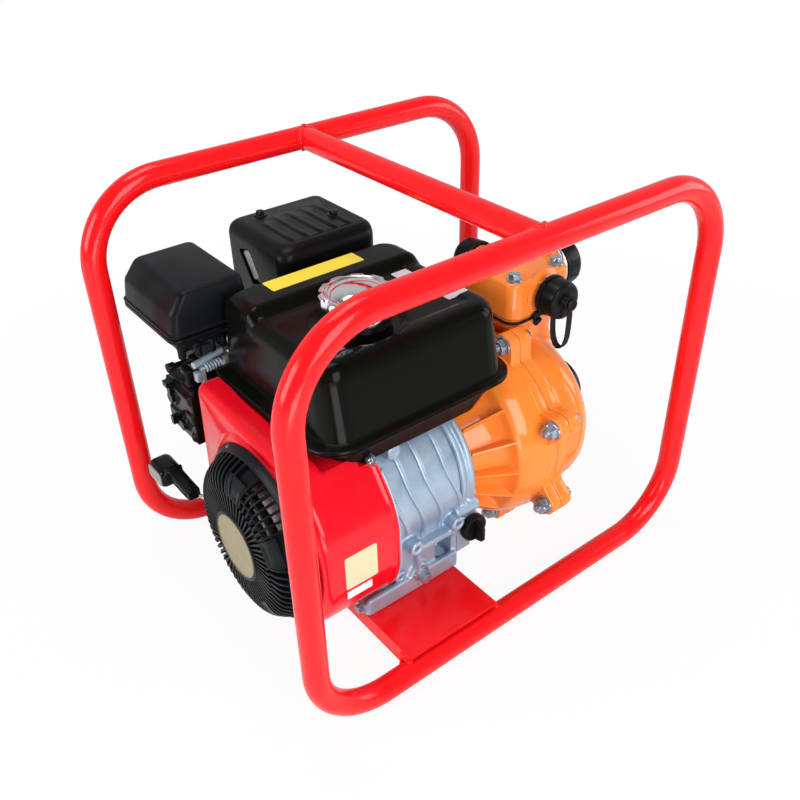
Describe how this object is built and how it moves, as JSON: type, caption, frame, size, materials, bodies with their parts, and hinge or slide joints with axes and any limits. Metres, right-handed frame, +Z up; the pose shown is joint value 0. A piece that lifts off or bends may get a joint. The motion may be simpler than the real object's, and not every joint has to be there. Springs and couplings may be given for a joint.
{
  "type": "portable fire pump",
  "caption": "Petrol-engine water pump in a red tube frame: recoil starter, black fuel tank, orange centrifugal pump with suction port and capped discharge manifold.",
  "frame": {"origin": "on the ground under the middle of the whole pump's box", "axes": "+X along the crankshaft from the recoil starter to the suction port, +Y from the oil filler side to the cylinder side, +Z up"},
  "size_m": [0.525, 0.415, 0.45],
  "materials": {
    "frame_paint": "gloss red enamel",
    "shroud_paint": "gloss crimson enamel",
    "zinc": "bright zinc plate",
    "cast_alloy": "blasted casting",
    "steel": "machined",
    "black_paint": "gloss black enamel",
    "black_plastic": "moulded, satin",
    "rubber": "matte",
    "rope": "braided cord",
    "medallion": "satin beige-gold",
    "filter": "pleated paper",
    "chrome": "polished",
    "orange_paint": "gloss orange enamel",
    "bronze": "cast"
  },
  "bodies": {
    "frame": {"near_hoop": "frame_paint", "far_hoop": "frame_paint", "top_bar": "frame_paint", "base_channel": "frame_paint", "fan_shroud": "shroud_paint", "engine_bolts": "zinc", "cover_bolts": "zinc", "drain_plug": "zinc", "shroud_screws": "zinc", "casing_bolts": "zinc", "manifold_bolts": "zinc", "control_bracket": "zinc", "limit_spring": "zinc", "crankcase": "cast_alloy", "crankcase_cover": "cast_alloy", "cylinder_head": "cast_alloy", "piston": "cast_alloy", "connecting_rod": "cast_alloy", "carburettor": "cast_alloy", "outlet_ring": "cast_alloy", "main_bearings": "steel", "muffler": "steel", "mechanical_seal": "steel", "spark_plug": "steel", "rocker_cover": "black_paint", "fuel_tank": "black_paint", "muffler_shield": "black_paint", "muffler_bolts": "black_paint", "recoil_cover": "black_plastic", "control_panel": "black_plastic", "air_cleaner_base": "black_plastic", "air_cleaner_cover": "black_plastic", "ignition_coil": "black_plastic", "plug_lead": "rubber", "cap_tether": "rubber", "starter_rope": "rope", "medallion": "medallion", "filter_element": "filter", "pump_rear_casing": "orange_paint", "pump_front_casing": "orange_paint", "discharge_manifold": "orange_paint"},
    "rotor": {"crankshaft": "steel", "flywheel": "cast_alloy", "starter_cup": "steel", "flywheel_nut": "zinc", "impeller": "bronze", "impeller_nut": "zinc"},
    "reel": {"rope_reel": "black_plastic", "rope_turns": "rope"},
    "handle": {"pull_handle": "black_plastic"},
    "fuel_cap": {"fuel_cap": "chrome"},
    "oil_cap": {"oil_filler_cap": "black_plastic"},
    "choke": {"choke_lever": "black_plastic"},
    "fuel_valve": {"fuel_lever": "black_plastic"},
    "throttle": {"throttle_lever": "black_plastic"},
    "near_port_cap": {"near_cap": "black_plastic", "near_strap": "rubber"},
    "far_port_cap": {"far_cap": "black_plastic"},
    "main_port_cap": {"main_cap": "black_plastic"},
    "suction_port_cap": {"suction_cap": "black_plastic"}
  },
  "joints": [
    {"name": "crank_spin", "type": "hinge", "parent": "frame", "child": "rotor", "pos_m": [-0.05, -0.0495, 0.1385], "axis": [1, 0, 0], "continuous": true},
    {"name": "reel_spin", "type": "hinge", "parent": "frame", "child": "reel", "pos_m": [-0.228, -0.0495, 0.1385], "axis": [1, 0, 0], "range_deg": [0, 630], "stiffness_Nm_per_rad": 0.02},
    {"name": "handle_pull", "type": "slide", "parent": "frame", "child": "handle", "axis": [-0.7018, 0.4511, 0.5514], "range_m": [0, 0.55], "deforming": ["starter_rope"]},
    {"name": "fuel_cap_turn", "type": "hinge", "parent": "frame", "child": "fuel_cap", "pos_m": [-0.078, -0.0415, 0.3385], "axis": [0, 0, 1], "range_deg": [0, 90]},
    {"name": "oil_cap_turn", "type": "hinge", "parent": "frame", "child": "oil_cap", "pos_m": [-0.008, -0.1315, 0.0885], "axis": [0, -1, 0], "range_deg": [0, 180]},
    {"name": "choke_swing", "type": "hinge", "parent": "frame", "child": "choke", "pos_m": [-0.206, 0.1345, 0.2045], "axis": [1, 0, 0], "range_deg": [0, 70]},
    {"name": "fuel_valve_swing", "type": "hinge", "parent": "frame", "child": "fuel_valve", "pos_m": [-0.206, 0.1145, 0.1785], "axis": [1, 0, 0], "range_deg": [0, 80]},
    {"name": "throttle_swing", "type": "hinge", "parent": "frame", "child": "throttle", "pos_m": [-0.19, 0.1025, 0.2605], "axis": [0, 0, -1], "range_deg": [0, 45]},
    {"name": "near_cap_slide", "type": "slide", "parent": "frame", "child": "near_port_cap", "axis": [0, -1, 0], "range_m": [0, 0.06]},
    {"name": "far_cap_slide", "type": "slide", "parent": "frame", "child": "far_port_cap", "axis": [0, 1, 0], "range_m": [0, 0.06]},
    {"name": "main_cap_slide", "type": "slide", "parent": "frame", "child": "main_port_cap", "axis": [1, 0, 0], "range_m": [0, 0.06]},
    {"name": "suction_cap_slide", "type": "slide", "parent": "frame", "child": "suction_port_cap", "axis": [1, 0, 0], "range_m": [0, 0.06]}
  ],
  "couplings": [
    {"joint": "handle_pull", "follows": "reel_spin", "m_per_rad": 0.05}
  ]
}
